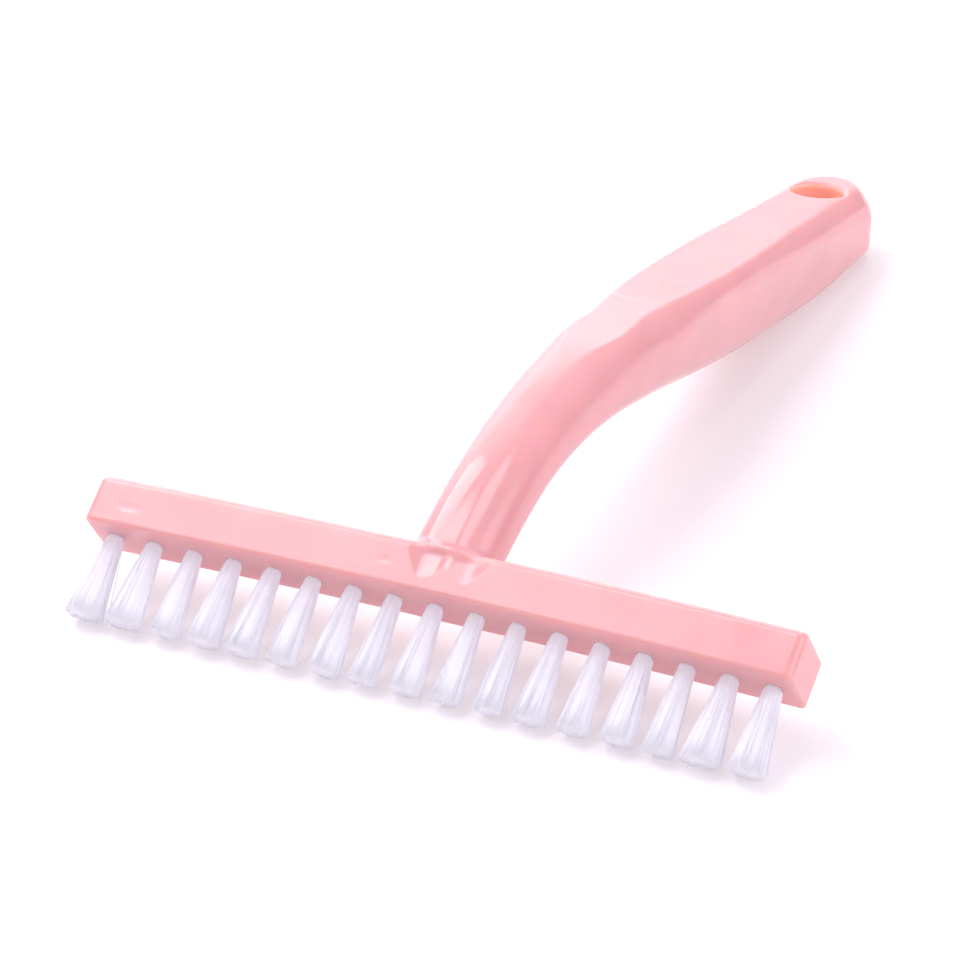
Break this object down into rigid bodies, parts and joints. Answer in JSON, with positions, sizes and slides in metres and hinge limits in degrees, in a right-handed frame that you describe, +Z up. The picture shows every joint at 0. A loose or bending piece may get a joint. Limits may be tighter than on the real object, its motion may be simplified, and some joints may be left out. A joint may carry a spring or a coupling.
{
  "type": "blind cleaning brush",
  "caption": "Hand brush for window blinds: a long bar with a row of flared nylon tufts, on a curved neck and a grip with a flat thumb rest and a hang hole.",
  "frame": {"origin": "on the table under the middle of the whole brush as it lies, on its tufts and on the underside of its grip", "axes": "+X along the head to the right as seen from the front, +Y from the tufts towards the end of the grip, +Z up from the table"},
  "size_m": [0.1806, 0.2696, 0.0459],
  "materials": {
    "pink_plastic": "glossy moulded plastic, pale pink",
    "white_nylon": "white nylon filament",
    "anchor_steel": "plain drawn strip"
  },
  "bodies": {
    "root": {"brush_body": "pink_plastic", "tuft_01": "white_nylon", "tuft_02": "white_nylon", "tuft_03": "white_nylon", "tuft_04": "white_nylon", "tuft_05": "white_nylon", "tuft_06": "white_nylon", "tuft_07": "white_nylon", "tuft_08": "white_nylon", "tuft_09": "white_nylon", "tuft_10": "white_nylon", "tuft_11": "white_nylon", "tuft_12": "white_nylon", "tuft_13": "white_nylon", "tuft_14": "white_nylon", "tuft_15": "white_nylon", "tuft_16": "white_nylon", "tuft_17": "white_nylon", "anchor_01": "anchor_steel", "anchor_02": "anchor_steel", "anchor_03": "anchor_steel", "anchor_04": "anchor_steel", "anchor_05": "anchor_steel", "anchor_06": "anchor_steel", "anchor_07": "anchor_steel", "anchor_08": "anchor_steel", "anchor_09": "anchor_steel", "anchor_10": "anchor_steel", "anchor_11": "anchor_steel", "anchor_12": "anchor_steel", "anchor_13": "anchor_steel", "anchor_14": "anchor_steel", "anchor_15": "anchor_steel", "anchor_16": "anchor_steel", "anchor_17": "anchor_steel"}
  },
  "joints": []
}
